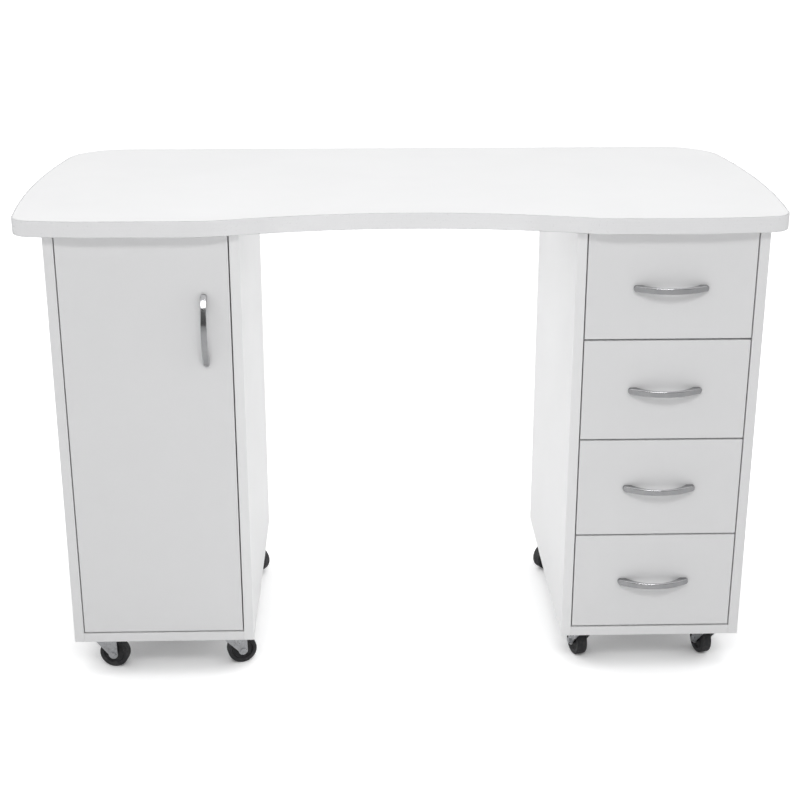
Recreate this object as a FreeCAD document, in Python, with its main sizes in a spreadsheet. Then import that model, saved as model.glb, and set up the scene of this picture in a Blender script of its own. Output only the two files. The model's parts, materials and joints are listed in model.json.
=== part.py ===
import FreeCAD, Part
import math
import os
import re
from FreeCAD import Vector, Rotation, Placement

# Manicure table: a kidney-fronted melamine top carried on two pedestals.
# Left pedestal: cupboard with one hinged inset door and a shelf.
# Right pedestal: four inset drawers on roller runners.
# Each pedestal stands on four 50 mm swivel casters.
# Frame: origin on the floor under the centre of the top, +X to the right of
# someone facing the fronts, -Y out of the fronts, +Z up. Millimetres.

CELLS = [
    # tabletop
    ("top_length", 1224.0), ("top_depth", 600.0), ("top_thick", 25.0), ("band_thick", 2.0),
    # plan outline: concave bay (arc_*), front lobes, bowed sides and corners
    ("arc_mid", 8.5), ("arc_sagitta", 48.0), ("arc_half", 330.0), ("arc_radius", 950.0),
    ("lobe_x", 455.0), ("lobe_radius", 700.0), ("front_corner", 38.0),
    ("side_radius", 1900.0), ("side_widest", -30.0), ("rear_corner", 95.0),
    # cabinets
    ("front_overhang", 24.0), ("board", 16.0), ("back_thick", 3.0),
    ("cab_width", 300.0), ("cab_depth", 480.0), ("cab_height", 700.0), ("cab_base", 66.0),
    ("left_cab_x", -551.0), ("right_cab_x", 268.0),
    ("rail_width", 80.0), ("rail_setback", 20.0),
    # door and drawer fronts
    ("side_gap", 2.0), ("front_gap", 3.0),
    ("drawer_front_height", 166.0), ("top_front_height", 171.0),
    # shelf and shelf pins
    ("shelf_lift", 330.0), ("shelf_setback", 28.0), ("shelf_side_play", 0.5),
    ("shelf_rear_play", 2.0), ("pin_radius", 2.5), ("pin_length", 16.0),
    ("pin_front_inset", 70.0), ("pin_rear_inset", 60.0),
    # hinges
    ("cup_radius", 17.5), ("cup_depth", 12.0), ("cup_offset", 22.0), ("cup_end", 100.0),
    ("cup_play", 0.05), ("cup_seat", 0.5), ("hollow_start", 2.0),
    ("hollow_width", 22.0), ("hollow_height", 24.0),
    ("hinge_plate_length", 50.0), ("hinge_plate_height", 44.0), ("hinge_plate_setback", 24.0),
    ("arm_thick", 11.0), ("arm_length", 48.0), ("arm_height", 16.0), ("arm_setback", 19.0),
    # drawer boxes
    ("box_side", 12.0), ("box_length", 400.0), ("box_height", 110.0), ("box_lift", 22.0),
    # fixed runner channels
    ("runner_gap", 13.0), ("sheet_metal", 1.5), ("channel_height", 34.0),
    ("channel_length", 385.0), ("channel_start", 4.0), ("channel_drop", 12.0),
    ("floor_width", 10.0), ("lip_width", 8.0),
    ("roller_radius", 9.0), ("roller_width", 5.0), ("roller_play", 0.5),
    ("roller_gap", 2.0), ("roller_start", 16.0),
    # moving runner members
    ("member_height", 28.0), ("member_drop", 5.0), ("member_gap", 2.5),
    ("foot_width", 10.0), ("foot_gap", 0.5), ("member_roller_inset", 14.0),
    # bow handles
    ("handle_length", 118.0), ("handle_rise", 24.0), ("handle_width", 10.0),
    ("handle_centres", 104.0), ("handle_foot", 15.0), ("handle_foot_thick", 4.0),
    ("handle_mid_thick", 4.5), ("handle_end_round", 4.2), ("handle_edge_round", 1.6),
    ("door_handle_z", 612.0), ("door_handle_inset", 40.0),
    ("screw_radius", 2.0), ("handle_head_radius", 4.0), ("handle_head_height", 2.0),
    # caster places, wheels and forks
    ("caster_inset_x", 42.0), ("caster_inset_y", 45.0),
    ("rear_inset_x", 36.0), ("rear_inset_y", 75.0),
    ("wheel_radius", 25.0), ("wheel_width", 18.0), ("trail", 17.0),
    ("axle_radius", 3.0), ("axle_play", 0.05), ("nut_radius", 5.6), ("nut_height", 3.5),
    ("fork_steel", 2.0), ("fork_side_gap", 2.0), ("crown_underside", 52.5),
    # caster plates and their screws
    ("plate_size", 42.0), ("plate_thick", 2.0), ("race_radius", 14.0), ("race_height", 7.5),
    ("pin_post", 4.0), ("post_height", 14.0), ("rivet_radius", 6.5), ("rivet_height", 1.6),
    ("plate_screw_offset", 15.0), ("plate_screw_radius", 1.6), ("plate_screw_bite", 11.0),
    ("plate_head_radius", 3.2), ("plate_head_height", 1.6),
    # dowels and tabletop screws
    ("dowel_radius", 4.0), ("dowel_length", 32.0), ("dowel_bury", 10.0),
    ("dowel_front_inset", 115.0), ("dowel_rear_place", 380.0),
    ("top_screw_inset", 70.0), ("top_screw_bite", 18.0),
    ("top_head_radius", 4.5), ("top_head_height", 2.2),
]
DIM = dict(CELLS)

doc = FreeCAD.newDocument("manicure_table")
sheet = doc.addObject("Spreadsheet::Sheet", "Dim")
for row, (alias, value) in enumerate(CELLS, 1):
    sheet.set(f"A{row}", alias)
    sheet.set(f"B{row}", f"{value:g}")
    sheet.setAlias(f"B{row}", alias)
doc.recompute()

# Expressions shared by several pieces
FRONT = "(-top_depth / 2 + front_overhang)"  # Y of the outer face of the fronts
BACK = f"({FRONT} + cab_depth - back_thick)"  # Y of the inner face of the back panels
CLEAR_WIDTH = "(cab_width - 2 * board)"
CABINET_TOP = "(cab_base + cab_height)"
FRONT_RAIL_MID = f"{FRONT} + rail_setback + rail_width / 2"
REAR_RAIL_MID = f"{BACK} - rail_width / 2"

# ---------------------------------------------------------------- helpers
ALIAS = re.compile(r"\b(" + "|".join(sorted(DIM, key=len, reverse=True)) + r")\b")
# Rotations that turn a cylinder's axis from +Z to the named axis
TURN = {
    "x": Rotation(Vector(0, 1, 0), 90),
    "y": Rotation(Vector(1, 0, 0), -90),
    "z": Rotation(),
}
pieces = {}


def keep(obj):
    """Mark an object as a piece to export."""
    pieces[obj.Label] = obj


def add(kind, name):
    obj = doc.addObject(kind, name)
    obj.Label = name
    return obj


def bind(obj, prop, text):
    """Drive a property by an expression of plain spreadsheet aliases."""
    obj.setExpression(prop, ALIAS.sub(r"Dim.\1", text))


def put(obj, position, rotation=None):
    if rotation is not None:
        obj.Placement = Placement(Vector(0, 0, 0), rotation)
    for axis, text in zip("xyz", position):
        bind(obj, "Placement.Base." + axis, text)


def box(name, size, position):
    obj = add("Part::Box", name)
    for prop, text in zip(("Length", "Width", "Height"), size):
        bind(obj, prop, text)
    put(obj, position)
    return obj


def rod(name, radius, length, position, axis="z"):
    obj = add("Part::Cylinder", name)
    bind(obj, "Radius", radius)
    bind(obj, "Height", length)
    put(obj, position, TURN[axis])
    return obj


def compound(name, parts):
    obj = add("Part::Compound", name)
    obj.Links = parts
    return obj


def fuse(name, parts):
    obj = add("Part::MultiFuse", name)
    obj.Shapes = parts
    return obj


def cut(name, base, tool):
    obj = add("Part::Cut", name)
    obj.Base = base
    obj.Tool = tool
    return obj


def segment(*points):
    """Line through two plan points or arc through three."""
    vectors = [Vector(x, y, 0) for x, y in points]
    return Part.LineSegment(*vectors) if len(vectors) == 2 else Part.Arc(*vectors)


def chain(points):
    """Lines joining successive points."""
    return [segment(start, end) for start, end in zip(points, points[1:])]


def body_sketch(body, name, edges):
    """Sketch on the body's XY plane."""
    plane = [f for f in body.Origin.OriginFeatures if f.Role == "XY_Plane"][0]
    sketch = body.newObject("Sketcher::SketchObject", name)
    sketch.AttachmentSupport = [(plane, "")]
    sketch.MapMode = "FlatFace"
    for edge in edges:
        sketch.addGeometry(edge, False)
    return sketch


def padded_body(name, stem, edges, thickness):
    body = add("PartDesign::Body", name)
    sketch = body_sketch(body, stem + "_sketch", edges)
    pad = body.newObject("PartDesign::Pad", stem + "_pad")
    pad.Profile = sketch
    bind(pad, "Length", thickness)
    doc.recompute()
    return body, pad


# ---------------------------------------------------------------- tabletop
def lower_crossing(centre_1, radius_1, centre_2, radius_2):
    """The crossing point of two circles that has the smaller Y."""
    dx = centre_2[0] - centre_1[0]
    dy = centre_2[1] - centre_1[1]
    gap = math.hypot(dx, dy)
    reach = (gap * gap + radius_1 ** 2 - radius_2 ** 2) / (2 * gap)
    rise = math.sqrt(radius_1 ** 2 - reach * reach)
    crossings = [(centre_1[0] + (reach * dx + side * rise * dy) / gap,
                  centre_1[1] + (reach * dy - side * rise * dx) / gap) for side in (-1, 1)]
    return min(crossings, key=lambda point: point[1])


def along(centre, point, distance):
    """Point at a distance from centre on the ray through point."""
    dx = point[0] - centre[0]
    dy = point[1] - centre[1]
    scale = distance / math.hypot(dx, dy)
    return (centre[0] + dx * scale, centre[1] + dy * scale)


def between(centre, start, end, radius):
    """Point on an arc about centre, midway in direction between start and end."""
    middle = ((start[0] + end[0]) / 2, (start[1] + end[1]) / 2)
    return along(centre, middle, radius)


def bay_edges(inset):
    """Concave bay with a convex shoulder each side, and its two outer ends."""
    front_y = -DIM["top_depth"] / 2
    mid, half = DIM["arc_mid"], DIM["arc_half"]
    sagitta, bay_radius = DIM["arc_sagitta"], DIM["arc_radius"]
    # distance between the centres of the bay and a shoulder that touch
    centres = (half * half + sagitta * sagitta) / (2 * sagitta)
    shoulder_radius = centres - bay_radius
    bay_y = front_y + sagitta - bay_radius
    inset_bay = bay_radius + inset
    inset_shoulder = shoulder_radius - inset

    def mirrored(point):
        return (2 * mid - point[0], point[1])

    start = (mid - half, front_y + inset)
    joint = (mid - half * inset_bay / centres,
             bay_y + (centres - sagitta) * inset_bay / centres)
    angle = 0.5 * math.atan2(half, centres - sagitta)
    shoulder = (mid - half + inset_shoulder * math.sin(angle),
                front_y + shoulder_radius - inset_shoulder * math.cos(angle))
    end = mirrored(start)
    edges = [
        segment(start, shoulder, joint),
        segment(joint, (mid, bay_y + inset_bay), mirrored(joint)),
        segment(mirrored(joint), mirrored(shoulder), end),
    ]
    return edges, start, end


def outline(inset):
    """Closed plan outline of the top, moved inwards by inset."""
    half_length, half_depth = DIM["top_length"] / 2, DIM["top_depth"] / 2
    lobe_radius, side_radius = DIM["lobe_radius"], DIM["side_radius"]
    front_radius, rear_radius = DIM["front_corner"], DIM["rear_corner"]
    edges, bay_left, bay_right = bay_edges(inset)

    # right end: lobe, front corner, bowed side and rear corner touch in turn
    lobe = (DIM["lobe_x"], -half_depth + lobe_radius)
    side = (half_length - side_radius, DIM["side_widest"])
    front = lower_crossing(lobe, lobe_radius - front_radius, side, side_radius - front_radius)
    rear_y = half_depth - rear_radius
    rear_x = side[0] + math.sqrt((side_radius - rear_radius) ** 2 - (rear_y - side[1]) ** 2)
    rear = (rear_x, rear_y)

    lobe_start = (lobe[0], -half_depth + inset)
    lobe_end = along(lobe, front, lobe_radius - inset)
    side_start = along(side, front, side_radius - inset)
    side_mid = (half_length - inset, side[1])
    side_end = along(side, rear, side_radius - inset)
    rear_end = (rear_x, half_depth - inset)
    right = [
        (bay_right, lobe_start),
        (lobe_start, between(lobe, lobe_start, lobe_end, lobe_radius - inset), lobe_end),
        (lobe_end, between(front, lobe_end, side_start, front_radius - inset), side_start),
        (side_start, side_mid, side_end),
        (side_end, between(rear, side_end, rear_end, rear_radius - inset), rear_end),
    ]
    left = [[(-x, y) for x, y in reversed(points)] for points in reversed(right)]
    # the bay is off centre, so the last line ends at its own left end
    left[-1][-1] = bay_left
    rear_line = (rear_end, (-rear_end[0], rear_end[1]))
    return edges + [segment(*points) for points in right + [rear_line] + left]


def make_tabletop():
    core = outline(DIM["band_thick"])
    band = outline(0.0) + outline(DIM["band_thick"])
    for name, edges in (("tabletop", core), ("tabletop_edge_band", band)):
        body, _ = padded_body(name, name, edges, "top_thick")
        put(body, ("0", "0", CABINET_TOP))
        keep(body)


# ---------------------------------------------------------------- cabinets
def make_carcass(side, cabinet_x):
    """Sides, bottom, two top rails and back; the inner side faces the kneehole."""
    inside_x = f"{cabinet_x} + board"
    walls = [cabinet_x, f"{cabinet_x} + cab_width - board"]
    if side == "right":
        walls.reverse()
    depth = "cab_depth - back_thick"
    for place, wall_x in zip(("outer", "inner"), walls):
        keep(box(f"{side}_cabinet_{place}_side", ("board", depth, "cab_height"),
                 (wall_x, FRONT, "cab_base")))
    keep(box(side + "_cabinet_bottom", (CLEAR_WIDTH, depth, "board"),
             (inside_x, FRONT, "cab_base")))
    rails = [box(f"{side}_rail_{place}", (CLEAR_WIDTH, "rail_width", "board"),
                 (inside_x, y, CABINET_TOP + " - board"))
             for place, y in (("front", FRONT + " + rail_setback"),
                              ("rear", BACK + " - rail_width"))]
    keep(compound(side + "_cabinet_rails", rails))
    keep(box(side + "_cabinet_back", ("cab_width", "back_thick", "cab_height"),
             (cabinet_x, BACK, "cab_base")))


def make_shelf():
    shelf_z = "cab_base + board + shelf_lift"
    depth = "cab_depth - back_thick - shelf_setback - shelf_rear_play"
    keep(box("left_shelf", (CLEAR_WIDTH + " - 2 * shelf_side_play", depth, "board"),
             ("left_cab_x + board + shelf_side_play", FRONT + " + shelf_setback", shelf_z)))
    # each pin sits half in a cabinet side and half under the shelf
    pin_ys = (FRONT + " + pin_front_inset", FRONT + " + cab_depth - pin_rear_inset")
    pin_xs = ("left_cab_x + board - pin_length / 2",
              "left_cab_x + cab_width - board - pin_length / 2")
    keep(compound("left_shelf_pins", [
        rod(f"shelf_pin_{row}{column}", "pin_radius", "pin_length",
            (x, y, shelf_z + " - pin_radius"), "x")
        for row, y in enumerate(pin_ys) for column, x in enumerate(pin_xs)]))


# ---------------------------------------------------------------- handles
def make_handle_pattern():
    """Bow handle along X: two flat feet and an arched strip bowed towards -Y."""
    half, rise = DIM["handle_length"] / 2, DIM["handle_rise"]
    foot = half - DIM["handle_foot"]
    thick = DIM["handle_foot_thick"]
    body, pad = padded_body("handle_pattern", "handle", [
        segment((-half, 0), (-foot, 0)),
        segment((-foot, 0), (0, -rise + DIM["handle_mid_thick"]), (foot, 0)),
        segment((foot, 0), (half, 0)),
        segment((half, 0), (half, -thick)),
        segment((half, -thick), (0, -rise), (-half, -thick)),
        segment((-half, -thick), (-half, 0)),
    ], "handle_width")

    def fillet(name, base, radius, chosen):
        names = [f"Edge{n}" for n, edge in enumerate(base.Shape.Edges, 1) if chosen(edge)]
        obj = body.newObject("PartDesign::Fillet", name)
        obj.Base = (base, names)
        bind(obj, "Radius", radius)
        doc.recompute()
        return obj

    # the four short corner edges at the ends of the feet, then the long edges
    ends = fillet("handle_ends", pad, "handle_end_round",
                  lambda e: abs(e.Length - thick) < 0.01 and e.BoundBox.YLength > thick - 0.1)
    rounded = fillet("handle_round", ends, "handle_edge_round",
                     lambda e: e.Length > 60 and abs(e.BoundBox.ZLength) < 0.01)
    if (rounded.Shape.isNull()
            or not rounded.Shape.Volume < ends.Shape.Volume < pad.Shape.Volume):
        raise SystemExit("handle fillet failed")
    return body


def make_handle(name, pattern, centre_x, centre_z, upright=False):
    """Handle on the outer face of a front, with its two screws."""
    bow = compound(name + "_bow", [pattern])
    if upright:
        put(bow, (f"{centre_x} - handle_width / 2", FRONT, centre_z), TURN["x"])
    else:
        put(bow, (centre_x, FRONT, f"{centre_z} - handle_width / 2"))
    parts = [bow]
    for tag, sign in (("a", "-"), ("b", "+")):
        offset = f" {sign} handle_centres / 2"
        x = centre_x if upright else centre_x + offset
        z = centre_z + offset if upright else centre_z
        shank = rod(f"{name}_shank_{tag}", "screw_radius", "board", (x, FRONT, z), "y")
        head = rod(f"{name}_head_{tag}", "handle_head_radius", "handle_head_height",
                   (x, FRONT + " + board", z), "y")
        parts.append(fuse(f"{name}_screw_{tag}", [shank, head]))
    keep(compound(name, parts))


# ---------------------------------------------------------------- door
def make_door(pattern):
    """Door hinged on its left edge, with two cups in its rear face."""
    inside_x = "left_cab_x + board"
    door_x = inside_x + " + side_gap"
    door_z = "cab_base + board + front_gap"
    height = "(3 * drawer_front_height + top_front_height + 3 * front_gap)"
    slab = box("door_slab", (CLEAR_WIDTH + " - 2 * side_gap", "board", height),
               (door_x, FRONT, door_z))
    cup_x = door_x + " + cup_offset"
    bore_y = FRONT + " + board - cup_depth"
    bores, cups, arms = [], [], []
    for tag, z in (("low", door_z + " + cup_end"), ("high", f"{door_z} + {height} - cup_end")):
        bores.append(rod("cup_bore_" + tag, "cup_radius", "cup_depth", (cup_x, bore_y, z), "y"))
        shell = rod("cup_shell_" + tag, "cup_radius - cup_play", "cup_depth - cup_seat",
                    (cup_x, bore_y + " + cup_seat", z), "y")
        hollow = box("cup_hollow_" + tag, ("hollow_width", "cup_depth", "hollow_height"),
                     (cup_x + " - hollow_width / 2", bore_y + " + hollow_start",
                      z + " - hollow_height / 2"))
        cups.append(cut("cup_" + tag, shell, hollow))
        plate = box("arm_plate_" + tag,
                    ("sheet_metal", "hinge_plate_length", "hinge_plate_height"),
                    (inside_x, FRONT + " + hinge_plate_setback",
                     z + " - hinge_plate_height / 2"))
        bar = box("arm_bar_" + tag, ("arm_thick", "arm_length", "arm_height"),
                  (inside_x + " + sheet_metal", FRONT + " + arm_setback",
                   z + " - arm_height / 2"))
        arms.append(fuse("arm_" + tag, [plate, bar]))
    keep(cut("door_panel", slab, fuse("cup_bores", bores)))
    keep(compound("door_hinge_cups", cups))
    keep(compound("door_hinge_arms", arms))
    make_handle("door_handle", pattern,
                "left_cab_x + cab_width - board - side_gap - door_handle_inset",
                "door_handle_z", upright=True)


# ---------------------------------------------------------------- drawers
BAY_LEFT = "right_cab_x + board"
BAY_RIGHT = f"{BAY_LEFT} + {CLEAR_WIDTH}"
BOX_Y = FRONT + " + board"


def make_runner(drawer, tag, wall, inward, box_z):
    """One side's runner: [channel, roller] fixed and [member, roller] moving."""
    floor_z = box_z + " - channel_drop"
    track_z = floor_z + " + sheet_metal"

    def across(near, far):
        """X and width of a strip between two distances inwards from the wall."""
        x = f"{wall} + {near}" if inward > 0 else f"{wall} - ({far})"
        return x, f"({far}) - ({near})"

    def strip(part, near, far, length, height, y, z):
        x, width = across(near, far)
        return box(f"{drawer}_{part}_{tag}", (width, length, height), (x, y, z))

    def roller(part, near, radius, y, z):
        x, width = across(near, near + " + roller_width")
        return rod(f"{drawer}_{part}_{tag}", radius, width, (x, y, z), "x")

    # fixed channel: web on the cabinet side, floor and lip towards the drawer
    channel_y = BOX_Y + " + channel_start"
    channel = fuse(f"{drawer}_channel_{tag}", [
        strip("web", "0", "sheet_metal", "channel_length", "channel_height",
              channel_y, floor_z),
        strip("floor", "0", "floor_width", "channel_length", "sheet_metal",
              channel_y, floor_z),
        strip("lip", "0", "lip_width", "channel_length", "sheet_metal",
              channel_y, floor_z + " + channel_height - sheet_metal"),
    ])
    fixed_roller = roller("roller", "roller_gap", "roller_radius", BOX_Y + " + roller_start",
                          track_z + " + roller_radius + roller_play")
    # moving member: web on the drawer side, tread over the roller, foot under the box
    web_near = "runner_gap - sheet_metal"
    member = fuse(f"{drawer}_member_{tag}", [
        strip("mweb", web_near, "runner_gap", "box_length", "member_height",
              BOX_Y, box_z + " - member_drop"),
        strip("tread", "member_gap", "runner_gap", "box_length", "sheet_metal",
              BOX_Y, track_z + " + 2 * roller_radius + 2 * roller_play"),
        strip("foot", web_near, "runner_gap + foot_width", "box_length", "sheet_metal",
              BOX_Y, box_z + " - back_thick - sheet_metal - foot_gap"),
    ])
    moving_roller = roller("mroller", "member_gap", "roller_radius - roller_play",
                           BOX_Y + " + box_length - member_roller_inset",
                           track_z + " + roller_radius")
    return [channel, fixed_roller], [member, moving_roller]


def make_drawer(number, pattern):
    """Drawer counted from the top; returns its fixed channels and rollers."""
    name = f"drawer_{number}"
    front_height = "top_front_height" if number == 1 else "drawer_front_height"
    front_z = (f"cab_base + board + front_gap"
               f" + {4 - number} * (drawer_front_height + front_gap)")
    box_x = BAY_LEFT + " + runner_gap"
    box_z = front_z + " + box_lift"
    box_width = CLEAR_WIDTH + " - 2 * runner_gap"
    keep(box(name + "_front", (CLEAR_WIDTH + " - 2 * side_gap", "board", front_height),
             (BAY_LEFT + " + side_gap", FRONT, front_z)))
    side_size = ("box_side", "box_length", "box_height")
    left = box(name + "_side_a", side_size, (box_x, BOX_Y, box_z))
    right = box(name + "_side_b", side_size,
                (BAY_RIGHT + " - runner_gap - box_side", BOX_Y, box_z))
    rear = box(name + "_rear", (box_width + " - 2 * box_side", "box_side", "box_height"),
               (box_x + " + box_side", BOX_Y + " + box_length - box_side", box_z))
    keep(compound(name + "_box", [left, right, rear]))
    keep(box(name + "_bottom", (box_width, "box_length", "back_thick"),
             (box_x, BOX_Y, box_z + " - back_thick")))
    make_handle(name + "_handle", pattern, f"{BAY_LEFT} + {CLEAR_WIDTH} / 2",
                front_z + " + drawer_front_height / 2")
    channels, runners = [], []
    for tag, wall, inward in (("a", BAY_LEFT, 1), ("b", BAY_RIGHT, -1)):
        fixed, moving = make_runner(name, tag, wall, inward, box_z)
        channels += fixed
        runners += moving
    keep(compound(name + "_runners", runners))
    return channels


# ---------------------------------------------------------------- casters
FRONT_ROW = FRONT + " + caster_inset_y"
REAR_ROW = FRONT + " + cab_depth - rear_inset_y"
# name, X and Y of the swivel axis, direction of the trail in degrees from +X
CASTERS = [
    ("front_left", "left_cab_x + caster_inset_x", FRONT_ROW, -10.0),
    ("front_mid_left", "left_cab_x + cab_width - caster_inset_x", FRONT_ROW, 16.0),
    ("front_mid_right", "right_cab_x + caster_inset_x", FRONT_ROW, 106.0),
    ("front_right", "right_cab_x + cab_width - caster_inset_x", FRONT_ROW, 104.0),
    ("rear_left", "left_cab_x + rear_inset_x", REAR_ROW, 150.0),
    ("rear_mid_left", "left_cab_x + cab_width - rear_inset_x", REAR_ROW, -30.0),
    ("rear_mid_right", "right_cab_x + rear_inset_x", REAR_ROW, 215.0),
    ("rear_right", "right_cab_x + cab_width - rear_inset_x", REAR_ROW, 60.0),
]


def make_wheel_pattern():
    """Wheel turned about the Y axis, centred on the origin."""
    radius, half_width = DIM["wheel_radius"], DIM["wheel_width"] / 2
    bore = DIM["axle_radius"] + DIM["axle_play"]
    hub = half_width + 1.8
    # (radius, distance from the mid plane) from the bore out to the tread
    upper = [(bore, hub), (6.5, hub), (6.5, half_width - 3.2), (16.5, half_width - 4.0),
             (18.5, half_width - 0.6), (22.5, half_width)]
    lower = [(r, -width) for r, width in reversed(upper)]
    crown = (radius - 0.15, half_width - 3.0)
    shoulder = (radius - 0.7, half_width - 0.9)
    low_crown = (crown[0], -crown[1])
    low_shoulder = (shoulder[0], -shoulder[1])
    tread = [
        segment(upper[-1], shoulder, crown),
        segment(crown, (radius, 0), low_crown),
        segment(low_crown, low_shoulder, lower[0]),
    ]
    body = add("PartDesign::Body", "wheel_pattern")
    sketch = body_sketch(body, "wheel_sketch",
                         chain(upper) + tread + chain(lower) + [segment(lower[-1], upper[0])])
    turned = body.newObject("PartDesign::Revolution", "wheel_turned")
    turned.Profile = sketch
    turned.ReferenceAxis = (sketch, ["V_Axis"])
    turned.Angle = 360
    doc.recompute()
    return body


def make_fork_pattern():
    """U-shaped fork with its swivel axis on Z and the axle trailing towards +X."""
    axle_x, axle_z = DIM["trail"], DIM["wheel_radius"]
    tip = 8.0  # radius of the rounded end about the axle
    front_x, rear_x = -13, 24
    front_z, top_z = 49, 55
    sketch = doc.addObject("Sketcher::SketchObject", "fork_sketch")
    sketch.Placement = Placement(Vector(0, 0, 0), Rotation(Vector(1, 0, 0), 90))
    for edge in (
            segment((front_x, top_z), (rear_x, top_z)),
            segment((rear_x, top_z), (axle_x + tip, axle_z)),
            segment((axle_x + tip, axle_z), (axle_x, axle_z - tip), (axle_x - tip, axle_z)),
            segment((axle_x - tip, axle_z), (front_x, front_z)),
            segment((front_x, front_z), (front_x, top_z))):
        sketch.addGeometry(edge, False)
    inner_width = "(wheel_width + 2 * fork_side_gap)"
    outer_width = f"({inner_width} + 2 * fork_steel)"
    blank = doc.addObject("Part::Extrusion", "fork_blank")
    blank.Base = sketch
    blank.DirMode = "Normal"
    bind(blank, "LengthFwd", outer_width)
    blank.Symmetric = True
    blank.Solid = True
    # the slot and the hole tools run past the blank
    slot = box("fork_slot", ("60", inner_width, "crown_underside"),
               ("-20", f"-{inner_width} / 2", "0"))
    post_hole = rod("fork_post_hole", "pin_post + axle_play", "10", ("0", "0", "50"))
    axle_hole = rod("fork_axle_hole", "axle_radius", "wheel_width + 20",
                    ("trail", "-(wheel_width + 20) / 2", "wheel_radius"), "y")
    fork = cut("fork_u", blank, fuse("fork_tools", [slot, post_hole, axle_hole]))

    parts = [rod("axle_shaft", "axle_radius", "wheel_width + 12",
                 ("trail", "-(wheel_width + 12) / 2", "wheel_radius"), "y")]
    for tag, y in (("a", f"-{outer_width} / 2 - nut_height"), ("b", outer_width + " / 2")):
        nut = add("Part::Prism", "axle_nut_" + tag)
        nut.Polygon = 6
        bind(nut, "Circumradius", "nut_radius")
        bind(nut, "Height", "nut_height")
        put(nut, ("trail", y, "wheel_radius"), TURN["y"])
        parts.append(nut)
    return [fork, fuse("axle_bolt", parts)]


def make_swivel(name, x, y):
    """Mounting plate with the bearing race, post and rivet hanging under it."""
    under = "cab_base - plate_thick"
    plate = box("plate_" + name, ("plate_size", "plate_size", "plate_thick"),
                (x + " - plate_size / 2", y + " - plate_size / 2", under))
    race = rod("race_" + name, "race_radius", "race_height", (x, y, under + " - race_height"))
    post = rod("post_" + name, "pin_post", "post_height", (x, y, under + " - post_height"))
    rivet = rod("rivet_" + name, "rivet_radius", "rivet_height",
                (x, y, under + " - post_height"))
    return fuse("swivel_" + name, [plate, race, post, rivet])


def make_plate_screws(name, x, y):
    under = "cab_base - plate_thick"
    screws = []
    for i in (-1, 1):
        for j in (-1, 1):
            tag = f"{name}_{i + 1}{j + 1}"
            screw_x = f"{x} + {i} * plate_screw_offset"
            screw_y = f"{y} + {j} * plate_screw_offset"
            head = rod("sc_head_" + tag, "plate_head_radius", "plate_head_height",
                       (screw_x, screw_y, under + " - plate_head_height"))
            shank = rod("sc_shank_" + tag, "plate_screw_radius",
                        "plate_thick + plate_screw_bite", (screw_x, screw_y, under))
            screws.append(fuse("sc_" + tag, [head, shank]))
    return screws


def make_casters():
    wheel_pattern = make_wheel_pattern()
    fork_parts = make_fork_pattern()
    plates, screws = [], []
    for name, x, y, angle in CASTERS:
        swivel = Rotation(Vector(0, 0, 1), angle)
        fork = compound("caster_fork_" + name, fork_parts)
        put(fork, (x, y, "0"), swivel)
        keep(fork)
        wheel = compound("caster_wheel_" + name, [wheel_pattern])
        put(wheel, (f"{x} + trail * cos({angle:g} deg)", f"{y} + trail * sin({angle:g} deg)",
                    "wheel_radius"), swivel)
        keep(wheel)
        plates.append(make_swivel(name, x, y))
        screws += make_plate_screws(name, x, y)
    keep(compound("caster_plates", plates))
    keep(compound("caster_screws", screws))


# ---------------------------------------------------------------- joining hardware
def make_joints():
    """Dowels through the sides into bottoms and rails; screws up into the top."""
    bottom_z = "cab_base + board / 2"
    rail_z = CABINET_TOP + " - board / 2"
    rail_under = CABINET_TOP + " - board"
    dowel_places = [
        (FRONT + " + dowel_front_inset", bottom_z), (FRONT + " + dowel_rear_place", bottom_z),
        (FRONT_RAIL_MID, rail_z), (REAR_RAIL_MID, rail_z),
    ]
    dowels, screws = [], []
    for side, cabinet_x in (("l", "left_cab_x"), ("r", "right_cab_x")):
        cabinet_end = cabinet_x + " + cab_width"
        dowel_xs = (cabinet_x + " + board - dowel_bury",
                    cabinet_end + " - board + dowel_bury - dowel_length")
        for end, x in enumerate(dowel_xs):
            for place, (y, z) in enumerate(dowel_places):
                dowels.append(rod(f"dowel_{side}{end}{place}", "dowel_radius",
                                  "dowel_length", (x, y, z), "x"))
        screw_xs = (cabinet_x + " + top_screw_inset", cabinet_end + " - top_screw_inset")
        for end, x in enumerate(screw_xs):
            for place, y in enumerate((FRONT_RAIL_MID, REAR_RAIL_MID)):
                tag = f"{side}{end}{place}"
                shank = rod("ts_shank_" + tag, "screw_radius", "board + top_screw_bite",
                            (x, y, rail_under))
                head = rod("ts_head_" + tag, "top_head_radius", "top_head_height",
                           (x, y, rail_under + " - top_head_height"))
                screws.append(fuse("ts_" + tag, [shank, head]))
    keep(compound("cabinet_dowels", dowels))
    keep(compound("tabletop_screws", screws))


# ---------------------------------------------------------------- build and export
make_tabletop()
make_carcass("left", "left_cab_x")
make_carcass("right", "right_cab_x")
make_shelf()
handle_pattern = make_handle_pattern()
make_door(handle_pattern)
drawer_channels = []
for number in (1, 2, 3, 4):
    drawer_channels += make_drawer(number, handle_pattern)
keep(compound("drawer_channels", drawer_channels))
make_casters()
make_joints()

doc.recompute()
failed = [o.Name for o in doc.Objects if "Invalid" in o.State or "Error" in o.State]
for name, obj in pieces.items():
    shape = obj.Shape
    if shape.isNull() or not shape.isValid() or not shape.Solids or shape.Volume <= 0:
        failed.append(name)
if failed:
    raise SystemExit("failed objects: " + ", ".join(failed))

os.makedirs("parts", exist_ok=True)
for name, obj in pieces.items():
    shape = obj.Shape
    if len(shape.Solids) == 1:
        shape = shape.Solids[0]
    shape.exportStep(os.path.join("parts", name + ".step"))
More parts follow.
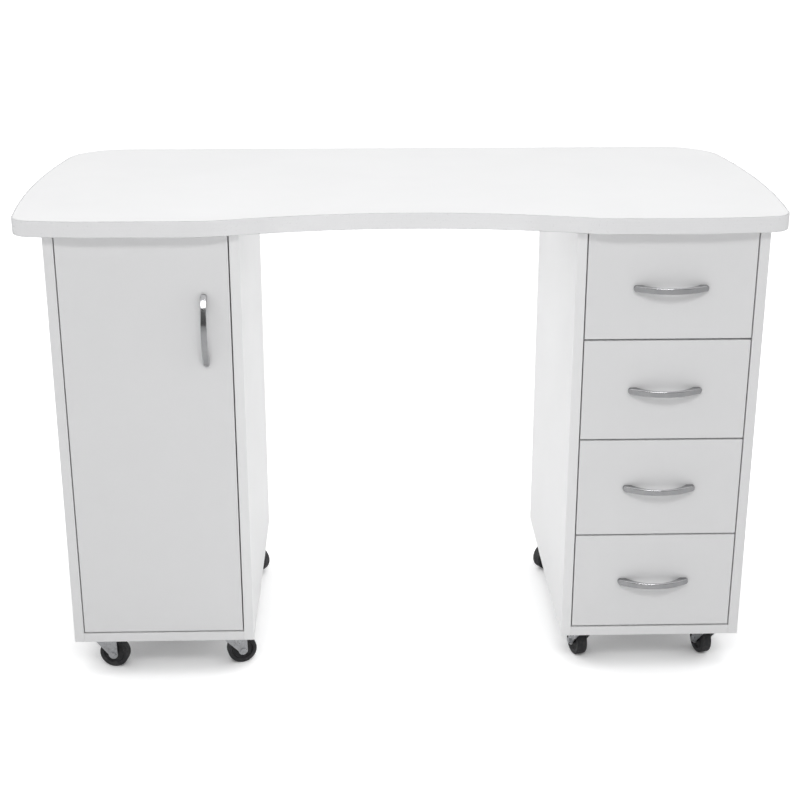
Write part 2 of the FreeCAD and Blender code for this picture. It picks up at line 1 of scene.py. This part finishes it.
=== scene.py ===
# A white desk: a tabletop, two cabinets with a knee space between them, a door and four drawers.
# Metres, +Z up. The floor is z = 0, x runs left to right, and the camera looks along +Y.
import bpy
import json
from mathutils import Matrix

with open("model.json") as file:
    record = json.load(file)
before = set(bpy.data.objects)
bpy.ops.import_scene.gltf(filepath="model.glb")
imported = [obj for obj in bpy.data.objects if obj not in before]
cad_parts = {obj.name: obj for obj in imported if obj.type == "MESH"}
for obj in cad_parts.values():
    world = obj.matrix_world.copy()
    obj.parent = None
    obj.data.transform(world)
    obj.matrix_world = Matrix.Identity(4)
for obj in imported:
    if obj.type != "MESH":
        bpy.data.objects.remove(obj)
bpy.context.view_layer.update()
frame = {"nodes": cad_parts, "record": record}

import json
import math
import bpy
import bmesh
from mathutils import Matrix, Vector

scene = bpy.context.scene


# ------------------------------------------------------------------ node helpers
class Nodes:
    """Adds and links nodes in one node tree."""

    def __init__(self, tree):
        self.tree = tree

    def feed(self, socket, value):
        """Link a socket to an input, or set the input's value; colours are given as RGB."""
        if isinstance(value, bpy.types.NodeSocket):
            self.tree.links.new(value, socket)
        elif socket.type == "RGBA":
            socket.default_value = (*value, 1)
        else:
            socket.default_value = value

    def add(self, kind, inputs=None, **properties):
        node = self.tree.nodes.new(kind)
        for key, value in properties.items():
            setattr(node, key, value)
        for key, value in (inputs or {}).items():
            self.feed(node.inputs[key], value)
        return node

    def math(self, operation, first, second):
        return self.add("ShaderNodeMath", {0: first, 1: second}, operation=operation).outputs[0]

    def span(self, value, to=(0, 1), at=(0.3, 0.7), interpolation="LINEAR"):
        """Map the range `at` onto the range `to`, clamped at both ends."""
        return self.add("ShaderNodeMapRange", {
            "From Min": at[0], "From Max": at[1], "To Min": to[0], "To Max": to[1],
            "Value": value}, interpolation_type=interpolation).outputs["Result"]

    def ease(self, value, to, at):
        return self.span(value, to, at, "SMOOTHSTEP")


class Material(Nodes):
    """A Principled material whose textures lie in object space."""

    def __init__(self, name):
        self.material = bpy.data.materials.new(name)
        self.material.use_nodes = True
        super().__init__(self.material.node_tree)
        self.principled = self.tree.nodes["Principled BSDF"]
        self.coords = self.add("ShaderNodeTexCoord").outputs["Object"]

    def stretched(self, scale, rotation=(0, 0, 0)):
        """Object coordinates scaled per axis; a small scale draws the pattern out."""
        return self.add("ShaderNodeMapping", {
            "Scale": scale, "Rotation": rotation, "Vector": self.coords}).outputs["Vector"]

    def noise(self, scale, detail=3.0, roughness=0.5, coords=None, distortion=0.0):
        return self.add("ShaderNodeTexNoise", {
            "Scale": scale, "Detail": detail, "Roughness": roughness,
            "Distortion": distortion, "Vector": coords or self.coords}).outputs["Fac"]

    def mix(self, factor, low, high):
        """Colour `low` where the factor is 0, `high` where it is 1."""
        return self.add("ShaderNodeMix", {"Factor": factor, 6: low, 7: high},
                        data_type="RGBA").outputs[2]

    def bump(self, height, strength, distance, over=None):
        """Surface relief, laid over an earlier bump if one is given."""
        inputs = {"Strength": strength, "Distance": distance, "Height": height}
        if over is not None:
            inputs["Normal"] = over
        return self.add("ShaderNodeBump", inputs).outputs["Normal"]

    def edge_wear(self, radius):
        """1 on edges, 0 on flats: how far a rounded normal leans from the true one."""
        rounded = self.add("ShaderNodeBevel", {"Radius": radius}, samples=4)
        geometry = self.add("ShaderNodeNewGeometry")
        agreement = self.add("ShaderNodeVectorMath", {
            0: rounded.outputs["Normal"], 1: geometry.outputs["Normal"]},
            operation="DOT_PRODUCT")
        return self.span(agreement.outputs["Value"], to=(1.0, 0.0), at=(0.80, 0.995))

    def openness(self, distance, power):
        """1 in the open, falling to 0 in tight corners."""
        occlusion = self.add("ShaderNodeAmbientOcclusion", {"Distance": distance}, samples=8)
        return self.math("POWER", occlusion.outputs["AO"], power)

    def finish(self, colour, roughness, normal=None, metallic=0.0, specular=0.5):
        values = {"Base Color": colour, "Roughness": roughness, "Metallic": metallic,
                  "Specular IOR Level": specular, "Coat Weight": 0.0, "Coat Roughness": 0.12}
        if normal is not None:
            values["Normal"] = normal
        for key, value in values.items():
            self.feed(self.principled.inputs[key], value)
        return self.material


def shade(colour, factor):
    return tuple(c * factor for c in colour)


# ------------------------------------------------------------------ materials
def melamine(name, base=(0.872, 0.872, 0.874), roughness=(0.34, 0.44), grain=0.12):
    """White melamine-faced board: pearl texture, faint mottling, soft sheen."""
    k = Material(name)
    cloud = k.noise(scale=5.0, detail=4, roughness=0.6)
    fine = k.noise(scale=520.0, detail=3, roughness=0.6)
    pearl = k.noise(scale=1500.0, detail=2)
    colour = k.mix(k.span(cloud, at=(0.35, 0.65)), low=shade(base, 0.988), high=shade(base, 1.006))
    colour = k.mix(k.span(fine, to=(0.0, 0.30), at=(0.40, 0.75)),
                   low=colour, high=shade(base, 0.965))
    smudge = k.noise(scale=14.0, detail=5, roughness=0.65, distortion=0.6)
    sheen = k.span(smudge, to=roughness, at=(0.35, 0.68))
    normal = k.bump(fine, strength=grain, distance=0.00035)
    normal = k.bump(pearl, strength=grain * 0.8, distance=0.00012, over=normal)
    return k.finish(colour, roughness=sheen, normal=normal, specular=0.42)


def edge_banding():
    """Edge band with fine run marks and light mottling."""
    k = Material("edge_band_white")
    run = k.noise(scale=60.0, detail=4, roughness=0.6, coords=k.stretched((0.25, 0.25, 30.0)))
    mottle = k.noise(scale=220.0, detail=3, roughness=0.55)
    colour = k.mix(k.span(run), low=(0.880, 0.880, 0.886), high=(0.905, 0.905, 0.908))
    colour = k.mix(k.span(mottle, to=(0, 0.3), at=(0.45, 0.75)),
                   low=colour, high=(0.85, 0.85, 0.856))
    normal = k.bump(run, strength=0.18, distance=0.0003)
    normal = k.bump(mottle, strength=0.08, distance=0.0002, over=normal)
    return k.finish(colour, roughness=k.span(mottle, to=(0.26, 0.36)), normal=normal)


def fibreboard():
    """White fibreboard: fibres drawn out along z, with darker specks."""
    k = Material("fibreboard_white")
    fibres = k.noise(scale=160.0, detail=6, roughness=0.7,
                     coords=k.stretched((1.0, 1.0, 0.35)), distortion=1.2)
    specks = k.noise(scale=700.0, detail=2, roughness=0.6)
    colour = k.mix(k.span(fibres), low=(0.79, 0.79, 0.78), high=(0.85, 0.85, 0.84))
    colour = k.mix(k.span(specks, to=(0.0, 0.5), at=(0.55, 0.8)),
                   low=colour, high=(0.73, 0.72, 0.70))
    return k.finish(colour, roughness=k.span(fibres, to=(0.5, 0.66)),
                    normal=k.bump(fibres, strength=0.2, distance=0.0004), specular=0.35)


def chrome():
    """Polished chrome with faint polishing lines and haze, and painted shade in its corners."""
    k = Material("chrome_polished")
    haze = k.noise(scale=55.0, detail=5, roughness=0.65)
    lines = k.noise(scale=900.0, detail=2, coords=k.stretched((0.06, 1.0, 1.0)))
    colour = k.mix(k.span(haze), low=(0.56, 0.565, 0.58), high=(0.68, 0.68, 0.69))
    # Painted shade: the colour turns near black where nearby surfaces hem the chrome in, as at the
    # handle feet and along the edge facing the front
    colour = k.mix(k.openness(distance=0.022, power=2.2), low=(0.10, 0.10, 0.105), high=colour)
    return k.finish(colour, roughness=k.span(haze, to=(0.07, 0.20), at=(0.35, 0.7)), metallic=1.0,
                    normal=k.bump(lines, strength=0.10, distance=0.00006))


def zinc():
    """Bright zinc plate: spangle mottling, grime, slanting scratches and brighter edges."""
    tint = (0.76, 0.77, 0.79)
    k = Material("zinc_plate")
    spangle = k.add("ShaderNodeTexVoronoi",
                    {"Scale": 420.0, "Vector": k.coords}).outputs["Distance"]
    grime = k.noise(scale=120.0, detail=5, roughness=0.65)
    scratch = k.noise(scale=1400.0, detail=3, roughness=0.6,
                      coords=k.stretched((1.0, 0.08, 0.4), rotation=(0.3, 0.2, 0.5)))
    colour = k.mix(k.span(spangle, at=(0.1, 0.8)), low=shade(tint, 0.86), high=tint)
    colour = k.mix(k.span(grime, to=(0.0, 0.55), at=(0.52, 0.8)),
                   low=colour, high=(0.30, 0.30, 0.29))
    colour = k.mix(k.edge_wear(radius=0.0008), low=colour, high=(0.82, 0.82, 0.84))
    roughness = k.span(grime, to=(0.22, 0.44))
    normal = k.bump(scratch, strength=0.16, distance=0.00008)
    normal = k.bump(spangle, strength=0.07, distance=0.0001, over=normal)
    return k.finish(colour, roughness, metallic=1.0, normal=normal)


def powder_coat():
    """White powder coat: orange peel, slight mottling and worn edges."""
    base = (0.80, 0.80, 0.80)
    k = Material("powder_coat_white")
    peel = k.noise(scale=900.0, detail=3, roughness=0.55)
    wear = k.edge_wear(radius=0.0007)
    chips = k.noise(scale=300.0, detail=4, roughness=0.7)
    colour = k.mix(k.span(chips, to=(0, 0.25)), low=base, high=shade(base, 0.93))
    colour = k.mix(wear, low=colour, high=(0.72, 0.72, 0.73))
    return k.finish(colour, roughness=k.span(peel, to=(0.36, 0.5)),
                    normal=k.bump(peel, strength=0.22, distance=0.0002))


def wheel_black():
    """Moulded black plastic: fine texture, patches of dust, rubbed edges."""
    k = Material("wheel_black")
    texture = k.noise(scale=1600.0, detail=2, roughness=0.6)
    mould = k.noise(scale=240.0, detail=4, roughness=0.6)
    dust = k.noise(scale=95.0, detail=6, roughness=0.72, distortion=0.8)
    colour = k.mix(k.span(mould), low=(0.018, 0.018, 0.020), high=(0.040, 0.040, 0.043))
    colour = k.mix(k.span(dust, to=(0.0, 0.55), at=(0.52, 0.82)),
                   low=colour, high=(0.17, 0.165, 0.155))
    colour = k.mix(k.edge_wear(radius=0.0012), low=colour, high=(0.085, 0.085, 0.088))
    normal = k.bump(texture, strength=0.30, distance=0.00015)
    normal = k.bump(mould, strength=0.10, distance=0.0003, over=normal)
    return k.finish(colour, roughness=k.span(dust, to=(0.34, 0.62)), normal=normal)


def beech():
    """Beech with rings and dark pores drawn out along x."""
    k = Material("beech_dowel")
    rings = k.noise(scale=70.0, detail=5, roughness=0.6,
                    coords=k.stretched((0.12, 1.0, 1.0)), distortion=1.0)
    pores = k.noise(scale=900.0, detail=3, roughness=0.6, coords=k.stretched((0.08, 1.0, 1.0)))
    colour = k.mix(k.span(rings), low=(0.46, 0.29, 0.15), high=(0.62, 0.43, 0.25))
    colour = k.mix(k.span(pores, to=(0, 0.5), at=(0.5, 0.75)),
                   low=colour, high=(0.34, 0.20, 0.10))
    return k.finish(colour, roughness=0.6, specular=0.3,
                    normal=k.bump(pores, strength=0.2, distance=0.0002))


FINISHES = {
    "white_melamine": melamine("melamine_white"),
    # Painted light and shade: the top, front and side finishes are lit and shaded copies of the
    # white melamine, lighter for the tabletop and inner sides, darker for the door and drawer
    # fronts
    "top": melamine("melamine_top_painted_lighter", base=(0.92, 0.92, 0.921), roughness=(0.28, 0.38), grain=0.10),
    "front": melamine("melamine_front_painted_darker", base=(0.852, 0.852, 0.855), roughness=(0.32, 0.42)),
    "side": melamine("melamine_side_painted_lighter", base=(0.93, 0.93, 0.931)),
    "drawer_board": melamine("melamine_drawer", base=(0.83, 0.83, 0.82),
                             roughness=(0.42, 0.55), grain=0.2),
    "edge_band": edge_banding(),
    "white_fibreboard": fibreboard(),
    "chrome": chrome(),
    "zinc_steel": zinc(),
    "white_steel": powder_coat(),
    "beech": beech(),
    "black_wheel": wheel_black(),
}

# ------------------------------------------------------------------ CAD pieces
SLOTS = {part["node"]: part.get("material_slot", part["node"])
         for part in frame["record"]["subparts"]}

# Bevel width of each piece's edges
BOARD_EDGE = 0.0008
FRONT_EDGE = 0.0009
DRAWER_BOX_EDGE = 0.0006
BACK_EDGE = 0.0003
EDGES = {"tabletop_edge_band": 0.0016, "tabletop": 0.0004,
         "door_panel": FRONT_EDGE, "left_shelf": BOARD_EDGE}
for side in ("left", "right"):
    for board in ("outer_side", "inner_side", "bottom", "rails"):
        EDGES[f"{side}_cabinet_{board}"] = BOARD_EDGE
    EDGES[f"{side}_cabinet_back"] = BACK_EDGE
for number in (1, 2, 3, 4):
    EDGES[f"drawer_{number}_front"] = FRONT_EDGE
    EDGES[f"drawer_{number}_box"] = DRAWER_BOX_EDGE


def finish_for(node):
    """The piece's own slot, except for the tabletop, the inner sides and the fronts, which get the
    white melamine painted lighter or darker as painted light and shade.
    """
    if node == "tabletop":
        return FINISHES["top"]
    if node in ("left_cabinet_inner_side", "right_cabinet_inner_side"):
        return FINISHES["side"]
    if node == "door_panel" or (node.startswith("drawer_") and node.endswith("_front")):
        return FINISHES["front"]
    return FINISHES[SLOTS[node]]


def soften(piece, width):
    """Round the sharp edges and keep the flats shading flat."""
    weld = piece.modifiers.new("weld", "WELD")
    weld.merge_threshold = 0.00002
    bevel = piece.modifiers.new("edge", "BEVEL")
    bevel.width = width
    bevel.segments = 3
    bevel.limit_method = "ANGLE"
    bevel.angle_limit = math.radians(40)
    bevel.harden_normals = False
    flow = piece.modifiers.new("flow", "WEIGHTED_NORMAL")
    flow.keep_sharp = False
    flow.weight = 80


for name, piece in frame["nodes"].items():
    piece.data.materials.clear()
    piece.data.materials.append(finish_for(name))
    if name in EDGES:
        soften(piece, EDGES[name])

# ------------------------------------------------------------------ floor
FLOOR_RADIUS = 45.0
FLOOR_SIDES = 96
FLOOR_MIRROR_DIMMING = 0.42  # how far the floor darkens when seen in a reflection
FLOOR_PAINTED_GLOW = 0.76            # emission of the open floor, for the camera only


def floor_material():
    """Pale floor with a painted glow, seen by the camera only, that runs it out to white where
    nothing stands near; the glow fades near the desk, which paints the shade around it.
    """
    k = Material("studio_floor")
    cloud = k.noise(scale=3.0)
    colour = k.mix(k.span(cloud), low=(0.86, 0.86, 0.86), high=(0.88, 0.88, 0.88))
    rays = k.add("ShaderNodeLightPath").outputs
    dimming = k.math("MULTIPLY", rays["Is Glossy Ray"], FLOOR_MIRROR_DIMMING)
    colour = k.mix(dimming, low=colour, high=(0.0, 0.0, 0.0))
    material = k.finish(colour, roughness=0.85, specular=0.1)
    # Painted light and painted shade: the floor's emission follows ambient occlusion, so it glows
    # in the open and fades near the desk
    glow_mask_painted_shade = k.openness(distance=0.52, power=1.2)
    seen = k.math("MULTIPLY", glow_mask_painted_shade, rays["Is Camera Ray"])
    painted_glow = k.math("MULTIPLY", seen, FLOOR_PAINTED_GLOW)
    k.feed(k.principled.inputs["Emission Color"], (1, 1, 1))
    k.feed(k.principled.inputs["Emission Strength"], painted_glow)
    return material


def build_floor():
    disc = bmesh.new()
    angles = [2 * math.pi * i / FLOOR_SIDES for i in range(FLOOR_SIDES)]
    disc.faces.new([disc.verts.new((FLOOR_RADIUS * math.cos(a), FLOOR_RADIUS * math.sin(a), 0.0))
                    for a in angles])
    mesh = bpy.data.meshes.new("studio_floor")
    disc.to_mesh(mesh)
    disc.free()
    floor = bpy.data.objects.new("studio_floor", mesh)
    scene.collection.objects.link(floor)
    floor.data.materials.append(floor_material())


build_floor()

# ------------------------------------------------------------------ world
WALL_BEHIND_CAMERA = 0.20  # strength of the diffuse light from -Y
WALL_SIDES = 1.27          # and from the sides
BACK_FALL = 0.50           # factor on the light from behind the desk
CEILING_FALL = 0.74        # factor on the light from above
MIRRORED_ROOM = 0.13       # least strength of what glossy surfaces mirror


def build_world():
    """Three surroundings: one lights diffusely, one is mirrored, one is seen by the camera."""
    world = bpy.data.worlds.new("studio")
    scene.world = world
    world.use_nodes = True
    world.node_tree.nodes.clear()
    w = Nodes(world.node_tree)
    generated = w.add("ShaderNodeTexCoord").outputs["Generated"]
    x, y, z = w.add("ShaderNodeSeparateXYZ", {"Vector": generated}).outputs
    rays = w.add("ShaderNodeLightPath").outputs

    # Diffuse light: bright at the sides, dimmer behind the camera, behind the desk and above
    walls = w.ease(y, to=(WALL_BEHIND_CAMERA, WALL_SIDES), at=(-1.0, 0.2))
    walls = w.math("MULTIPLY", walls, w.ease(y, to=(1.0, BACK_FALL), at=(0.15, 0.85)))
    walls = w.math("MULTIPLY", walls, w.ease(z, to=(1.0, CEILING_FALL), at=(0.1, 0.95)))
    lit = w.add("ShaderNodeBackground", {"Color": (0.99, 0.993, 1.0), "Strength": walls})

    # Mirrored: a grey room with a bright ceiling, sides and back
    ceiling = w.ease(z, to=(0.0, 0.95), at=(0.45, 0.75))
    sides = w.ease(w.math("ABSOLUTE", x, 0.0), to=(0.0, 0.75), at=(0.62, 0.86))
    back = w.ease(y, to=(0.0, 0.8), at=(0.3, 0.8))
    room = w.math("MAXIMUM", w.math("MAXIMUM", ceiling, sides),
                  w.math("MAXIMUM", back, MIRRORED_ROOM))
    mirrored = w.add("ShaderNodeBackground", {"Strength": room})

    # Seen: plain white
    seen = w.add("ShaderNodeBackground", {"Color": (1, 1, 1), "Strength": 1.0})

    shader = lit.outputs["Background"]
    for ray, background in (("Is Glossy Ray", mirrored), ("Is Camera Ray", seen)):
        shader = w.add("ShaderNodeMixShader", {
            "Fac": rays[ray], 1: shader, 2: background.outputs["Background"]}).outputs["Shader"]
    w.add("ShaderNodeOutputWorld", {"Surface": shader})


build_world()


# ------------------------------------------------------------------ lights
def area_light(name, location, target, size, power):
    data = bpy.data.lights.new(name, "AREA")
    data.shape = "RECTANGLE"
    data.size, data.size_y = size
    data.energy = power
    light = bpy.data.objects.new(name, data)
    scene.collection.objects.link(light)
    light.location = location
    aim = Vector(target) - Vector(location)
    light.rotation_euler = aim.to_track_quat("-Z", "Y").to_euler()
    return light


area_light("overhead", location=(0.0, 0.25, 3.2), target=(0, 0.0, 0.4),
           size=(3.0, 2.0), power=18.5)
area_light("key_front", location=(0.1, -3.0, 3.0), target=(0, -0.1, 0.5),
           size=(2.0, 0.7), power=34.0)
area_light("key_left", location=(-2.6, -2.2, 2.2), target=(0, 0, 0.5),
           size=(1.4, 1.6), power=2.5)
# Unseen bounce cards: each stands across the knee space from the side it lights
for tag, side in (("left", -1), ("right", 1)):
    card = area_light("card_" + tag, location=(-0.21 * side, 0.02, 0.42),
                      target=(0.5 * side, 0.02, 0.42), size=(0.95, 0.64), power=1.0)
    card.visible_camera = False
    card.visible_glossy = False

# ------------------------------------------------------------------ camera
CAMERA_POSITION = (-0.0679912, -2.510744, 1.3030702)
CAMERA_RIGHT = (0.9996045, -0.0281229, 0.0001547)
CAMERA_UP = (0.0094296, 0.3403377, 0.9402560)


def build_camera():
    data = bpy.data.cameras.new("camera")
    camera = bpy.data.objects.new("camera", data)
    scene.collection.objects.link(camera)
    right = Vector(CAMERA_RIGHT).normalized()
    up = Vector(CAMERA_UP).normalized()
    pose = Matrix((right, up, right.cross(up))).transposed().to_4x4()
    pose.translation = CAMERA_POSITION
    camera.matrix_world = pose
    data.sensor_width = 36.0  # mm, as is the lens
    data.lens = 67.1931
    data.clip_end = 200.0
    scene.camera = camera


build_camera()
scene.view_settings.view_transform = "Standard"
scene.view_settings.look = "None"

bpy.context.view_layer.update()
